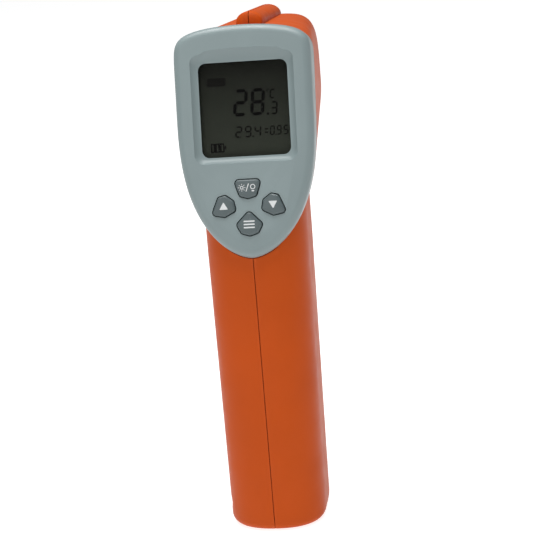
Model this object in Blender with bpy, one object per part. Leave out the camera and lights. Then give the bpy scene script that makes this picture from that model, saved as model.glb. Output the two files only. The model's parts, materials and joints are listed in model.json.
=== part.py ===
"""Pistol-grip infrared thermometer: two clamshell housing halves, a rear display hood with four keys,
a sprung trigger, a drop-down battery door, and the optics, boards and battery that they hold.

Frame: metres, +Z up, +Y out of the nose, +X to the user's right. The origin is the middle of the bottom
of the whole object's box. Places are worked out from the middle of the grip's base, and moved at the end.
"""

import math

import bmesh
import bpy
from mathutils import Matrix, Vector

MM = 0.001
GAP = 0.3 * MM  # clearance that touching pieces keep

# Driving dimensions
WALL = 2.2 * MM
FACE_TILT = math.radians(13)  # the display face leans forward at its top
FACE_HALF_WIDTH = 21.2 * MM
FACE_TOP = 25.6 * MM  # from the display's middle up to the hood's top edge
FACE_TIP = 45.5 * MM  # and down to the tip of its shield shape
FACE_ORIGIN = Vector((0, -6.5 * MM, 134.5 * MM))  # the display's middle, on the face plane
HOOD_TIP_DEPTH = 3.3 * MM
HOOD_TOP_DEPTH = 11.5 * MM
NOSE_Y = 63.5 * MM
NOSE_Z = 132.3 * MM
NOSE_HALF_WIDTH = 16.3 * MM
NOSE_HALF_HEIGHT = 21.5 * MM
GRIP_RAKE = math.radians(3)
GRIP_BACK = 13.0 * MM  # from the grip's widest line to its back
GRIP_FRONT = 24.0 * MM  # and to its front
GRIP_WIDEST_Y = -5.5 * MM
GRIP_HALF_WIDTH_BASE = 15.3 * MM
GRIP_HALF_WIDTH_TOP = 16.0 * MM
GRIP_FULL_WIDTH_Z = 90 * MM
BOX_MIDDLE_Y = 22.5 * MM  # the middle of the whole object's depth, moved to the origin at the end

WINDOW_SIZE = (27.5 * MM, 28.8 * MM)
WINDOW_CORNER = 2.3 * MM
RECESS_DEPTH = 1.6 * MM

BARREL_RADIUS = 9.0 * MM
LASER_OFFSET = 13.6 * MM  # each laser stands this far above or below the lens
LASER_RADIUS = 2.9 * MM

TRIGGER_PIVOT = Vector((0, 24.0 * MM, 107.0 * MM))
TRIGGER_HALF_WIDTH = 5.5 * MM
TRIGGER_PIN_RADIUS = 1.25 * MM

DOOR_HALF_WIDTH = 11.5 * MM
DOOR_TOP = 96.0 * MM
DOOR_HINGE = Vector((0, 16.6 * MM, 7.0 * MM))
DOOR_PIN_RADIUS = 0.9 * MM
KNUCKLE_RADIUS = 1.9 * MM
KNUCKLE_HALF_WIDTH = 6.0 * MM
DOOR_SWEEP = 3.6 * MM  # the foot of the door clears this radius about its hinge

BATTERY_SIZE = (17.5 * MM, 26.5 * MM, 46.4 * MM)
BATTERY_BASE = Vector((0, 0.6 * MM, 12.6 * MM))

SCREW_PLACES = ((-8.0 * MM, 6.6 * MM), (-1.0 * MM, 71.5 * MM), (40.0 * MM, 117.0 * MM),
                (34.0 * MM, 144.8 * MM))
BOSS_RADIUS = 2.8 * MM
SCREW_RADIUS = 1.2 * MM
SCREW_HEAD_RADIUS = 2.1 * MM


# Materials

def material(name, colour, roughness, metallic=0.0, alpha=1.0):
    made = bpy.data.materials.new(name)
    made.use_nodes = True
    shader = made.node_tree.nodes["Principled BSDF"]
    shader.inputs["Base Color"].default_value = (*colour, 1.0)
    shader.inputs["Roughness"].default_value = roughness
    shader.inputs["Metallic"].default_value = metallic
    shader.inputs["Alpha"].default_value = alpha
    made.diffuse_color = (*colour, alpha)
    return made


# Outlines: lists of (x, y) points, anticlockwise

def resampled(points, count):
    """The closed outline again, as count points spaced evenly along it."""
    ends = points[1:] + points[:1]
    steps = [math.dist(a, b) for a, b in zip(points, ends)]
    spacing = sum(steps) / count
    found = []
    walked = 0.0
    for a, b, step in zip(points, ends, steps):
        while len(found) < count and len(found) * spacing <= walked + step:
            share = (len(found) * spacing - walked) / step
            found.append((a[0] + share * (b[0] - a[0]), a[1] + share * (b[1] - a[1])))
        walked += step
    return found


def inset(points, depth):
    """The outline moved inwards by depth, along the mean normal at each point."""
    moved = []
    for i, (x, y) in enumerate(points):
        before, after = points[i - 1], points[(i + 1) % len(points)]
        along = Vector((after[0] - before[0], after[1] - before[1])).normalized()
        moved.append((x - along.y * depth, y + along.x * depth))
    return moved


def two_part_oval(half_width, top, bottom, top_powers, bottom_powers, count):
    """An oval whose upper and lower halves each follow |x/a|^p + |y/b|^q = 1, from its lowest point."""
    dense = []
    fine = 720
    for i in range(fine):
        angle = -math.pi / 2 + 2 * math.pi * i / fine
        height, powers = (top, top_powers) if angle >= 0 and angle <= math.pi else (bottom, bottom_powers)
        across, up = math.cos(angle), math.sin(angle)
        x = half_width * math.copysign(abs(across) ** (2 / powers[0]), across)
        y = height * math.copysign(abs(up) ** (2 / powers[1]), up)
        dense.append((x, y))
    return resampled(dense, count)


def shield(count, depth=0.0):
    """The hood's outline about the display's middle: square shoulders over a rounded point."""
    outline = two_part_oval(FACE_HALF_WIDTH, FACE_TOP, FACE_TIP, (2, 11.5), (1.7, 2.75), count)
    return inset(outline, depth)


def nose_oval(count, depth=0.0):
    half_height = NOSE_HALF_HEIGHT
    outline = two_part_oval(NOSE_HALF_WIDTH, half_height, half_height, (4.6, 4.6), (2.6, 2.6), count)
    return inset(outline, depth)


def rounded_polygon(corners, radius, steps=4):
    """A convex polygon given anticlockwise, with each corner rounded to the radius."""
    outline = []
    for i, corner in enumerate(corners):
        here = Vector(corner)
        back = (Vector(corners[i - 1]) - here).normalized()
        on = (Vector(corners[(i + 1) % len(corners)]) - here).normalized()
        half_angle = back.angle(on) / 2
        centre = here + (back + on).normalized() * (radius / math.sin(half_angle))
        start = here + back * (radius / math.tan(half_angle)) - centre
        sweep = math.pi - 2 * half_angle
        for step in range(steps + 1):
            turned_by = Matrix.Rotation(sweep * step / steps, 2)
            outline.append(tuple(centre + turned_by @ start))
    return outline


def rectangle(width, height, radius, steps=4):
    x, y = width / 2, height / 2
    return rounded_polygon([(-x, -y), (x, -y), (x, y), (-x, y)], radius, steps)


# Solids

def new_object(name, bm, finish=None):
    bmesh.ops.recalc_face_normals(bm, faces=bm.faces)
    mesh = bpy.data.meshes.new(name)
    bm.to_mesh(mesh)
    bm.free()
    made = bpy.data.objects.new(name, mesh)
    bpy.context.collection.objects.link(made)
    if finish:
        mesh.materials.append(finish)
        mesh.shade_smooth()
        mesh.set_sharp_from_angle(angle=math.radians(35))
    else:
        made.hide_render = True
        made.display_type = "WIRE"
    return made


def loft(name, rings, finish=None, closed=False):
    """A solid through rings of matching points: capped at its two ends, or closed round into a hoop."""
    bm = bmesh.new()
    loops = [[bm.verts.new(point) for point in ring] for ring in rings]
    pairs = list(zip(loops, loops[1:]))
    if closed:
        pairs.append((loops[-1], loops[0]))
    for low, high in pairs:
        for i in range(len(low)):
            j = (i + 1) % len(low)
            bm.faces.new((low[i], low[j], high[j], high[i]))
    if not closed:
        bm.faces.new(reversed(loops[0]))
        bm.faces.new(loops[-1])
    return new_object(name, bm, finish)


def prism(name, outline, low, high, finish=None, frame=Matrix.Identity(4)):
    """An outline in the frame's XY plane, extruded along its Z from low to high."""
    made = loft(name, [[(x, y, z) for x, y in outline] for z in (low, high)], finish)
    made.matrix_world = frame
    return made


def turned(name, profile, finish=None, frame=Matrix.Identity(4), steps=24):
    """A closed (radius, height) profile turned about the frame's Z. A profile on the axis makes a disc."""
    bm = bmesh.new()
    points = [bm.verts.new((radius, 0, height)) for radius, height in profile]
    edges = [bm.edges.new((a, b)) for a, b in zip(points, points[1:] + points[:1])]
    bmesh.ops.spin(bm, geom=points + edges, axis=(0, 0, 1), cent=(0, 0, 0), angle=2 * math.pi, steps=steps)
    bmesh.ops.remove_doubles(bm, verts=bm.verts, dist=0.01 * MM)
    bmesh.ops.dissolve_degenerate(bm, edges=bm.edges, dist=0.001 * MM)
    made = new_object(name, bm, finish)
    made.matrix_world = frame
    return made


def box(name, low, high, finish=None, frame=Matrix.Identity(4)):
    outline = [(low[0], low[1]), (high[0], low[1]), (high[0], high[1]), (low[0], high[1])]
    return prism(name, outline, low[2], high[2], finish, frame)


def change(target, operation, *tools):
    """Adds one Boolean modifier for each tool solid. The exact solver leaves open edges on the housing."""
    for tool in tools:
        modifier = target.modifiers.new(f"{operation.lower()}_{tool.name}", "BOOLEAN")
        modifier.operation = operation
        modifier.solver = "MANIFOLD" if target.name.endswith("_shell") else "EXACT"
        modifier.object = tool


def cut(target, *tools):
    change(target, "DIFFERENCE", *tools)


def join(target, *tools):
    change(target, "UNION", *tools)


# Frames

FACE = Matrix.Translation(FACE_ORIGIN) @ Matrix.Rotation(math.pi / 2 - FACE_TILT, 4, "X")
GRIP = Matrix.Rotation(-GRIP_RAKE, 4, "X")  # local Z runs up the grip
SIDEWAYS = Matrix.Rotation(math.pi / 2, 4, "Y") @ Matrix.Rotation(math.pi / 2, 4, "Z")  # local XY is world YZ


def nose_frame(z):
    """Local Z points out of the nose, with its zero at the nose's front face."""
    return Matrix.Translation((0, NOSE_Y, z)) @ Matrix.Rotation(-math.pi / 2, 4, "X")


def across(y, z):
    """Local Z points along +X, through the point (0, y, z)."""
    return Matrix.Translation((0, y, z)) @ Matrix.Rotation(math.pi / 2, 4, "Y")


def on_face(x, up):
    """The face's frame, moved to a place on the face."""
    return FACE @ Matrix.Translation((x, up, 0))


# The housing's outer form and its hollow

HEAD_POINTS = 48
GRIP_POINTS = 36


def hood_depth(up):
    """How deep the hood is at a height on the face, from the face to the plane where it meets the housing."""
    share = (up + FACE_TIP) / (FACE_TOP + FACE_TIP)
    return HOOD_TIP_DEPTH + share * (HOOD_TOP_DEPTH - HOOD_TIP_DEPTH)


def hood_ring(outline, depth_at):
    return [FACE @ Vector((x, up, -depth_at(up))) for x, up in outline]


def head_lines(depth):
    """The straight lines that the head's surface is ruled with, from the hood's plane to the nose."""
    rear = hood_ring(shield(HEAD_POINTS, depth), hood_depth)
    front = [Vector((x, NOSE_Y, NOSE_Z + up)) for x, up in nose_oval(HEAD_POINTS, depth)]
    return list(zip(rear, front))


def head_ring(share, depth):
    """The head's outline a share of the way from the hood's plane (0) to the nose (1), inset by a depth."""
    return [a.lerp(b, share) for a, b in head_lines(depth)]


def head_section(y, depth):
    """The head's outline in an upright plane across it."""
    return [a.lerp(b, (y - a.y) / (b.y - a.y)) for a, b in head_lines(depth)]


def head_solid(name, depth, shares, finish=None):
    return loft(name, [head_ring(share, depth) for share in shares], finish)


def grip_ring(height, depth):
    """The grip's outline at a height: a full round back and a flatter front."""
    rise = min(height / GRIP_FULL_WIDTH_Z, 1)
    half_width = GRIP_HALF_WIDTH_BASE + rise * (GRIP_HALF_WIDTH_TOP - GRIP_HALF_WIDTH_BASE)
    outline = two_part_oval(half_width, GRIP_FRONT, GRIP_BACK, (4, 4), (2.3, 2.3), GRIP_POINTS)
    lean = GRIP_WIDEST_Y + height * math.tan(GRIP_RAKE)
    return [Vector((x, y + lean, height)) for x, y in inset(outline, depth)]


def grip_solid(name, stations, finish=None):
    return loft(name, [grip_ring(height * MM, depth * MM) for height, depth in stations], finish)


GRIP_OUTSIDE = ((0, 2.8), (0.35, 1.5), (1.2, 0.5), (2.8, 0), (90, 0), (116, 0))
GRIP_INSIDE = ((10.2, 2.2), (90, 2.2), (117, 2.2))
MIDWALL = ((5, 1.2), (90, 1.2), (112, 1.2))


def ridge_solid(name):
    """The narrow ridge on top of the head that covers the laser, blunt at its rear end."""
    rings = []
    for y, top, half_width in ((18.4, 158.6, 3.4), (19.6, 160.5, 4.3), (26, 160.2, 4.4), (61.9, 157.5, 4.6),
                               (NOSE_Y / MM - 0.4, 157.1, 4.3)):
        turns = [math.pi * i / 10 for i in range(11)]
        ring = [(half_width * math.cos(t), top - 3.4 * (1 - math.sin(t))) for t in turns]
        ring += [(-half_width, top - 9), (half_width, top - 9)]
        rings.append([Vector((x * MM, y * MM, z * MM)) for x, z in ring])
    return loft(name, rings)


def rod(name, radius, low, high, finish=None, frame=Matrix.Identity(4), steps=20):
    return turned(name, [(0, low), (radius, low), (radius, high), (0, high)], finish, frame, steps)


def door_outline(margin):
    """The battery door seen from the front: a panel notched for the trigger, with a tongue at its hinge."""
    side, notch = DOOR_HALF_WIDTH + margin, TRIGGER_HALF_WIDTH + 0.8 * MM - margin
    tongue, low = KNUCKLE_HALF_WIDTH + margin, DOOR_HINGE.z + 0.35 * MM
    panel, floor, top = low + 2.3 * MM - margin, 76 * MM + margin, DOOR_TOP + margin
    half = [(tongue, low), (tongue, panel), (side, panel), (side, top), (notch, top), (notch, floor)]
    return half + [(-x, z) for x, z in reversed(half)]


UPRIGHT = Matrix.Rotation(math.pi / 2, 4, "X")  # local XY is world XZ, and local Z is world -Y


def boss_reach(y, z):
    """How far from the middle the housing's outside is, at a screw's place."""
    if z < 80 * MM:
        ring = grip_ring(z, 0)
        near = min(ring, key=lambda p: abs(p.y - y) - (10 if p.x > 0 else 0))
    else:
        rear_y = (FACE @ Vector((0, (z - FACE_ORIGIN.z) / math.cos(FACE_TILT), -8 * MM))).y
        share = (y - rear_y) / (NOSE_Y - rear_y)
        near = min(head_ring(share, 0), key=lambda p: abs(p.z - z) - (10 if p.x > 0 else 0))
    return near.x


def trigger_pin_reach():
    return boss_reach(TRIGGER_PIVOT.y, TRIGGER_PIVOT.z) - 1.2 * MM


def build_shells(finish):
    far = 0.2
    head_hollow = head_solid("head_hollow", WALL, (-0.12, 0.1, 0.3, 0.5, 0.7, 0.85, 1, 1.1))
    grip_hollow = grip_solid("grip_hollow", GRIP_INSIDE)
    pocket = loft("hood_pocket", [hood_ring(shield(HEAD_POINTS, -GAP), lambda up: hood_depth(up) + GAP / 2),
                                  hood_ring(shield(HEAD_POINTS, -GAP), lambda up: hood_depth(up) - 14 * MM)])
    ribs = grip_solid("ribs", MIDWALL)
    seat_outline = [(-3, 66.4), (10.6, 66.4), (10.6, 102), (9.2, 102), (9.2, 67.9), (-3, 67.9)]
    seat_outline = [(y * MM, z * MM) for y, z in seat_outline]
    change(ribs, "INTERSECT", prism("rib_outline", seat_outline, -20 * MM, 20 * MM, None, SIDEWAYS))
    hinge = across(DOOR_HINGE.y, DOOR_HINGE.z)
    groove_end = KNUCKLE_HALF_WIDTH + 1.3 * GAP
    groove = rod("hinge_groove", DOOR_SWEEP, -groove_end, groove_end, None, hinge, 32)
    pin_hole = rod("hinge_pin_hole", DOOR_PIN_RADIUS + 0.05 * MM, -9.1 * MM, 9.1 * MM, None, hinge)
    opening = prism("door_opening", door_outline(GAP), -30 * MM, -7 * MM, None, UPRIGHT)
    slot = box("trigger_slot", (-6.15 * MM, 12.2 * MM, 72 * MM), (6.15 * MM, 33 * MM, 104.5 * MM))
    floor_pocket = box("floor_pocket", (-10 * MM, -3.6 * MM, 2.4 * MM), (10 * MM, 11.6 * MM, 12 * MM))
    pivot = rod("trigger_pin_hole", TRIGGER_PIN_RADIUS + 0.05 * MM, -trigger_pin_reach() - 0.2 * MM,
                trigger_pin_reach() + 0.2 * MM, None, across(TRIGGER_PIVOT.y, TRIGGER_PIVOT.z))
    for side, name in ((-1, "left_shell"), (1, "right_shell")):
        shell = head_solid(name, 0, (0, 0.15, 0.35, 0.6, 0.8, 1), finish)
        join(shell, grip_solid(f"{name}_grip", GRIP_OUTSIDE), ridge_solid(f"{name}_ridge"))
        cut(shell, pocket, head_hollow, grip_hollow)
        join(shell, ribs)
        for place, (y, z) in enumerate(SCREW_PLACES):
            reach = boss_reach(y, z) - 1.2 * MM
            join(shell, rod(f"{name}_boss_{place}", BOSS_RADIUS, -reach, reach, None, across(y, z), 16))
        low_x, high_x = (-GAP / 2, far) if side < 0 else (-far, GAP / 2)
        cut(shell, box(f"{name}_other_half", (low_x, -far, -far), (high_x, far, 2 * far)))
        cut(shell, slot, pivot, floor_pocket, opening, groove, pin_hole)
        for place, (y, z) in enumerate(SCREW_PLACES):
            cut(shell, screw_hole(f"{name}_hole_{place}", side, y, z))


def screw_hole(name, side, y, z):
    """The left half has a clearance hole with a sunk head seat, and the right half a blind pilot hole."""
    frame = across(y, z)
    if side > 0:
        return rod(name, SCREW_RADIUS + 0.05 * MM, -1 * MM, 7.2 * MM, None, frame, 16)
    seat = boss_reach(y, z) - 4.6 * MM
    profile = [(0, 1 * MM), (SCREW_RADIUS + GAP, 1 * MM), (SCREW_RADIUS + GAP, -seat),
               (SCREW_HEAD_RADIUS + GAP, -seat), (SCREW_HEAD_RADIUS + GAP, -30 * MM), (0, -30 * MM)]
    return turned(name, profile, None, frame, 16)


def build_screws(finish):
    for place, (y, z) in enumerate(SCREW_PLACES, 1):
        head = -(boss_reach(y, z) - 4.6 * MM) - 0.3 * MM
        profile = [(0, 6.4 * MM), (0.5 * MM, 6.4 * MM), (SCREW_RADIUS, 5.2 * MM), (SCREW_RADIUS, head),
                   (SCREW_HEAD_RADIUS, head), (SCREW_HEAD_RADIUS, head - 1.0 * MM),
                   (SCREW_HEAD_RADIUS - 0.5 * MM, head - 1.5 * MM), (0.6 * MM, head - 1.5 * MM),
                   (0.3 * MM, head - 0.7 * MM), (0, head - 0.7 * MM)]
        turned(f"housing_screw_{place}", profile, finish, across(y, z), 16)


# The hood, the display and the keys

def key_outlines():
    """Each key's middle on the face and its outline about that middle."""
    trapezium = rounded_polygon([(-2.6, -2.2), (0, -2.9), (2.6, -2.2), (4.2, 2.8), (-4.2, 2.8)], 1.1)
    corners = [(-3.4, -2.6), (0.6, -3.4), (4.1, -1.6), (3.5, 1.4), (1.0, 3.2), (-1.2, 2.6)]
    side_key = rounded_polygon(corners, 1.0)
    mirrored = [(-x, y) for x, y in reversed(side_key)]
    mode = rounded_polygon([(-2.6, -2.9), (0, -3.7), (2.6, -2.9), (4.1, -0.2), (0, 3.9), (-4.1, -0.2)], 1.1)
    keys = {"button_light": ((0, -24.3), trapezium), "button_up": ((-8.1, -29.2), side_key),
            "button_down": ((8.1, -29.2), mirrored), "button_mode": ((0, -34.9), mode)}
    return {name: ((x * MM, up * MM), [(a * MM, b * MM) for a, b in outline])
            for name, ((x, up), outline) in keys.items()}


def recess_outline(grown):
    """The outline of the sunk surround of the display: straight sides and a gently arched top."""
    half_width, low, high = 15.9 * MM + grown, -16.4 * MM - grown, 16.6 * MM + grown
    arch = [(half_width * math.cos(math.pi * i / 12), high + 2.0 * MM * math.sin(math.pi * i / 12))
            for i in range(1, 12)]
    corners = [(-half_width, low), (half_width, low), (half_width, high - 2.5 * MM)]
    corners += arch[1:-1] + [(-half_width, high - 2.5 * MM)]
    return resampled(rounded_polygon(corners, 1.5 * MM, 3), 40)


def build_hood(finish):
    edge = ((0, 2.4), (0.35, 1.2), (1.2, 0.35), (2.6, 0))
    rings = [hood_ring(shield(HEAD_POINTS, side * MM), lambda up, d=down: d * MM) for down, side in edge]
    rings.append(hood_ring(shield(HEAD_POINTS), lambda up: hood_depth(up) - GAP / 2))
    hood = loft("rear_faceplate", rings, finish)
    hollow = loft("hood_hollow", [hood_ring(shield(HEAD_POINTS, 2 * MM), lambda up: 2.0 * MM),
                                  hood_ring(shield(HEAD_POINTS, 2 * MM), lambda up: 20 * MM)])
    window = resampled(rectangle(*WINDOW_SIZE, WINDOW_CORNER), 40)
    start = max(range(40), key=lambda i: window[i][0] - window[i][1])
    outer = recess_outline(0)
    outer_start = max(range(40), key=lambda i: outer[i][0] - outer[i][1])
    window = window[start:] + window[:start]
    outer = outer[outer_start:] + outer[:outer_start]
    levels = ((outer, 0.3), (outer, -0.1), (window, -RECESS_DEPTH / MM), (window, -5))
    rings = [[FACE @ Vector((x, up, level * MM)) for x, up in outline] for outline, level in levels]
    recess = loft("recess", rings)
    cut(hood, hollow, recess)
    for name, ((x, up), outline) in key_outlines().items():
        cut(hood, prism(f"{name}_opening", inset(outline, -GAP), -6 * MM, 3 * MM, None, on_face(x, up)))


def build_keys(finish, pill_finish):
    for name, ((x, up), outline) in key_outlines().items():
        levels = ((-0.7, -3.6), (-0.7, -2.7), (0, -2.7), (0, 0.4), (0.25, 0.75), (0.8, 0.95))
        rings = [[(a, b, level * MM) for a, b in inset(outline, depth * MM)] for depth, level in levels]
        key = loft(name, rings, finish)
        here = on_face(x, up)
        key.matrix_world = here
        join(key, rod(f"{name}_stem", 1.7 * MM, -7.5 * MM, -3.2 * MM, None, here, 12))
        pill = name.replace("button", "contact")
        rod(pill, 1.3 * MM, -8.6 * MM, -8.2 * MM, pill_finish, here, 12)


def face_prism(name, outline, low, high, finish, x=0.0, up=0.0):
    scaled = [(a * MM, b * MM) for a, b in outline]
    return prism(name, scaled, low * MM, high * MM, finish, on_face(x * MM, up * MM))


def build_display(looks):
    size = (31.0, 32.4)
    face_prism("display_window", rectangle(*size, 1.5), -3.3, -2.3, looks["window"])
    face_prism("lcd_panel", rectangle(*size, 0.5), -5.4, -3.6, looks["lcd"])
    face_prism("lcd_backlight", rectangle(30.0, 25.0, 0.8), -8.8, -5.7, looks["diffuser"])
    for name, up in (("zebra_strip_lower", -14.6), ("zebra_strip_upper", 14.6)):
        face_prism(name, rectangle(28, 2.2, 0.4), -9.8, -5.7, looks["rubber"], 0, up)
    outline = [(-6, -39.5), (6, -39.5), (11, -33), (16.2, -18), (16.2, 20.6), (-16.2, 20.6), (-16.2, -18),
               (-11, -33)]
    board = face_prism("main_board", outline, -11.7, -10.1, looks["board"])
    holes = [(-14.4, 18.8), (14.4, 18.8), (0, -18.4)]
    profile = [(0, -14), (0.8, -14), (0.8, -9.75), (1.6, -9.75), (1.6, -9.0), (0, -9.0)]
    for place, (x, up) in enumerate(holes, 1):
        here = on_face(x * MM, up * MM)
        cut(board, rod(f"board_hole_{place}", 1.1 * MM, -13 * MM, -9 * MM, None, here, 12))
        turned(f"board_screw_{place}", [(r * MM, z * MM) for r, z in profile], looks["steel"], here, 12)
    face_prism("processor_chip", rectangle(11, 11, 0.3), -14.0, -12.0, looks["chip"], 0, 4)
    for place, (x, up) in enumerate(((-9.5, -8.0), (9.5, -8.0), (10.5, 14.0)), 1):
        here = on_face(x * MM, up * MM)
        rod(f"capacitor_{place}", 2.4 * MM, -17.8 * MM, -12.0 * MM, looks["can"], here, 14)
    rod("buzzer", 4.6 * MM, -16.4 * MM, -12.0 * MM, looks["chip"], on_face(0, -28 * MM), 20)
    sheet = [(-5.4, -38.6), (5.4, -38.6), (12.4, -30), (12.4, -25), (5, -20.9), (-5, -20.9), (-12.4, -25),
             (-12.4, -30)]
    face_prism("keypad_sheet", sheet, -9.8, -8.9, looks["silicone"])


# The nose: lens, sensor and lasers

def build_nose(looks):
    optic = nose_frame(NOSE_Z)
    upper, lower = nose_frame(NOSE_Z + LASER_OFFSET), nose_frame(NOSE_Z - LASER_OFFSET)
    bezel = loft("nose_bezel", [head_section(NOSE_Y - back * MM, WALL + GAP) for back in (9.0, 4.8, 0.6)],
                 looks["black"])
    cone = [(0, -3 * MM), (BARREL_RADIUS - 1 * MM, -3 * MM), (BARREL_RADIUS + 2 * MM, 1 * MM), (0, 1 * MM)]
    cut(bezel, rod("lens_hole", BARREL_RADIUS + GAP, -12 * MM, 5 * MM, None, optic, 32),
        turned("lens_cone", cone, None, optic, 32))
    for place, frame in enumerate((upper, lower)):
        cut(bezel, rod(f"laser_hole_{place}", LASER_RADIUS + GAP, -12 * MM, 5 * MM, None, frame))
    tube = [(7.9, -34), (9.0, -34), (9.0, -3.4), (7.9, -3.4)]
    turned("sensor_tube", [(r * MM, z * MM) for r, z in tube], looks["black"], optic, 32)
    ring = [(6.6, -3.1), (9.0, -3.1), (9.0, -2.3), (6.6, -2.3)]
    turned("lens_retainer", [(r * MM, z * MM) for r, z in ring], looks["aluminium"], optic, 32)
    lens = [(0, -6.4), (6.6, -5.4), (7.6, -5.4), (7.6, -4.3), (6.6, -4.3), (5.0, -3.75), (2.5, -3.45),
            (0, -3.4)]
    turned("sensor_lens", [(r * MM, z * MM) for r, z in lens], looks["lens"], optic, 32)
    can = [(0, -34), (4.6, -34), (4.6, -33.2), (4.1, -33.2), (4.1, -29.5), (3.8, -29.2), (0, -29.2)]
    turned("thermopile_sensor", [(r * MM, z * MM) for r, z in can], looks["steel"], optic, 24)
    board = [(x * MM, y * MM) for x, y in rectangle(22, 25, 2)]
    prism("sensor_board", board, -36.2 * MM, -34.6 * MM, looks["board"], optic)
    outer = LASER_RADIUS / MM
    barrel = [(0, -15.5), (outer, -15.5), (outer, -1.6), (2.2, -1.0), (1.5, -1.0), (1.5, -2.4), (0, -2.4)]
    for name, frame in (("upper", upper), ("lower", lower)):
        turned(f"laser_module_{name}", [(r * MM, z * MM) for r, z in barrel], looks["brass"], frame, 20)
        rod(f"laser_lens_{name}", 1.2 * MM, -2.1 * MM, -1.4 * MM, looks["laser_lens"], frame, 16)


# The trigger and its switch

def build_trigger(looks):
    hub = TRIGGER_PIVOT
    side = [(21, 111), (18.6, 108), (18.4, 100), (18.0, 95), (18.6, 86), (23.6, 79.6), (26, 78.4),
            (30.6, 77.6), (32.0, 78.6), (31.2, 81.2), (29.2, 84), (28.2, 88), (28.4, 92.5), (29.6, 97),
            (29.8, 104), (27.6, 109.4), (24, 111.6)]
    low, high = -TRIGGER_HALF_WIDTH, TRIGGER_HALF_WIDTH
    rings = []
    outline = [(y * MM - hub.y, z * MM - hub.z) for y, z in side]
    for x, depth in ((low, 0.9), (low + 0.3 * MM, 0.35), (low + 0.9 * MM, 0), (high - 0.9 * MM, 0),
                     (high - 0.3 * MM, 0.35), (high, 0.9)):
        rings.append([(x, y, z) for y, z in inset(outline, depth * MM)])
    trigger = loft("trigger", rings, looks["black"])
    trigger.matrix_world = Matrix.Translation(hub)
    cut(trigger, rod("trigger_bore", TRIGGER_PIN_RADIUS + GAP, -20 * MM, 20 * MM, None, across(hub.y, hub.z)))
    reach = trigger_pin_reach()
    rod("trigger_pin", TRIGGER_PIN_RADIUS, -reach, reach, looks["steel"], across(hub.y, hub.z), 16)
    along = Matrix.Translation((0, 0, 85 * MM)) @ Matrix.Rotation(-math.pi / 2, 4, "X")  # local Z is world Y
    coil = []
    turns, around, start, end = 5, 10, 11.4 * MM, 18.0 * MM
    for step in range(turns * around + 1):
        angle = 2 * math.pi * step / around
        middle = Vector((2.4 * MM * math.cos(angle), 2.4 * MM * math.sin(angle),
                         start + (end - start) * step / (turns * around)))
        outward = Vector((math.cos(angle), math.sin(angle), 0))
        coil.append([middle + 0.3 * MM * (math.cos(t) * outward + math.sin(t) * Vector((0, 0, 1)))
                     for t in (math.pi * k / 3 for k in range(6))])
    spring = loft("trigger_spring", coil, looks["steel"])
    spring.matrix_world = along
    switch = box("trigger_switch", (-3 * MM, 10.9 * MM, 92 * MM), (3 * MM, 15 * MM, 98 * MM), looks["chip"])
    axis = Matrix.Translation((0, 15 * MM, 95 * MM)) @ Matrix.Rotation(-math.pi / 2, 4, "X")
    cut(switch, rod("plunger_bore", 1.7 * MM, -2.4 * MM, 1 * MM, None, axis, 20))
    rod("switch_plunger", 1.4 * MM, -0.8 * MM, 2.4 * MM, looks["black"], axis, 14)


# The battery door and the battery

def build_door(finish, pin_finish):
    """A piece of the grip's own wall, with a knuckle that turns on a pin at its foot."""
    door = grip_solid("battery_door", ((4, 0), (90, 0), (112, 0)), finish)
    door.data.transform(Matrix.Translation(-DOOR_HINGE))
    door.matrix_world = Matrix.Translation(DOOR_HINGE)
    hinge = across(DOOR_HINGE.y, DOOR_HINGE.z)
    hollow = grip_solid("door_hollow", ((-2, 2.2), (90, 2.2), (117, 2.2)))
    cut(door, hollow)
    change(door, "INTERSECT", prism("door_block", door_outline(0), -30 * MM, -7 * MM, None, UPRIGHT))
    for side, low, high in (("left", -20, -6), ("right", 6, 20)):
        cut(door, rod(f"door_foot_{side}", DOOR_SWEEP, low * MM, high * MM, None, hinge, 32))
    join(door, rod("door_knuckle", KNUCKLE_RADIUS, -KNUCKLE_HALF_WIDTH, KNUCKLE_HALF_WIDTH, None, hinge, 24))
    cut(door, rod("door_pin_bore", DOOR_PIN_RADIUS + GAP, -20 * MM, 20 * MM, None, hinge))
    rod("door_hinge_pin", DOOR_PIN_RADIUS, -8.8 * MM, 8.8 * MM, pin_finish, hinge, 16)


def swept(name, points, radius, finish, sides=6, steps=5):
    """A round wire along a smooth curve through the points."""
    knots = [Vector(points[0])] + [Vector(p) for p in points] + [Vector(points[-1])]
    path = []
    for a, b, c, d in zip(knots, knots[1:], knots[2:], knots[3:]):
        for step in range(steps):
            t = step / steps
            path.append(0.5 * (2 * b + (c - a) * t + (2 * a - 5 * b + 4 * c - d) * t * t
                               + (3 * b - a - 3 * c + d) * t ** 3))
    path.append(knots[-1])
    rings = []
    side = Vector((1, 0, 0))
    for i, point in enumerate(path):
        ahead = (path[min(i + 1, len(path) - 1)] - path[max(i - 1, 0)]).normalized()
        side = (side - ahead * side.dot(ahead)).normalized()
        other = ahead.cross(side)
        rings.append([point * MM + radius * (math.cos(t) * side + math.sin(t) * other)
                      for t in (2 * math.pi * k / sides for k in range(sides))])
    return loft(name, rings, finish)


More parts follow.
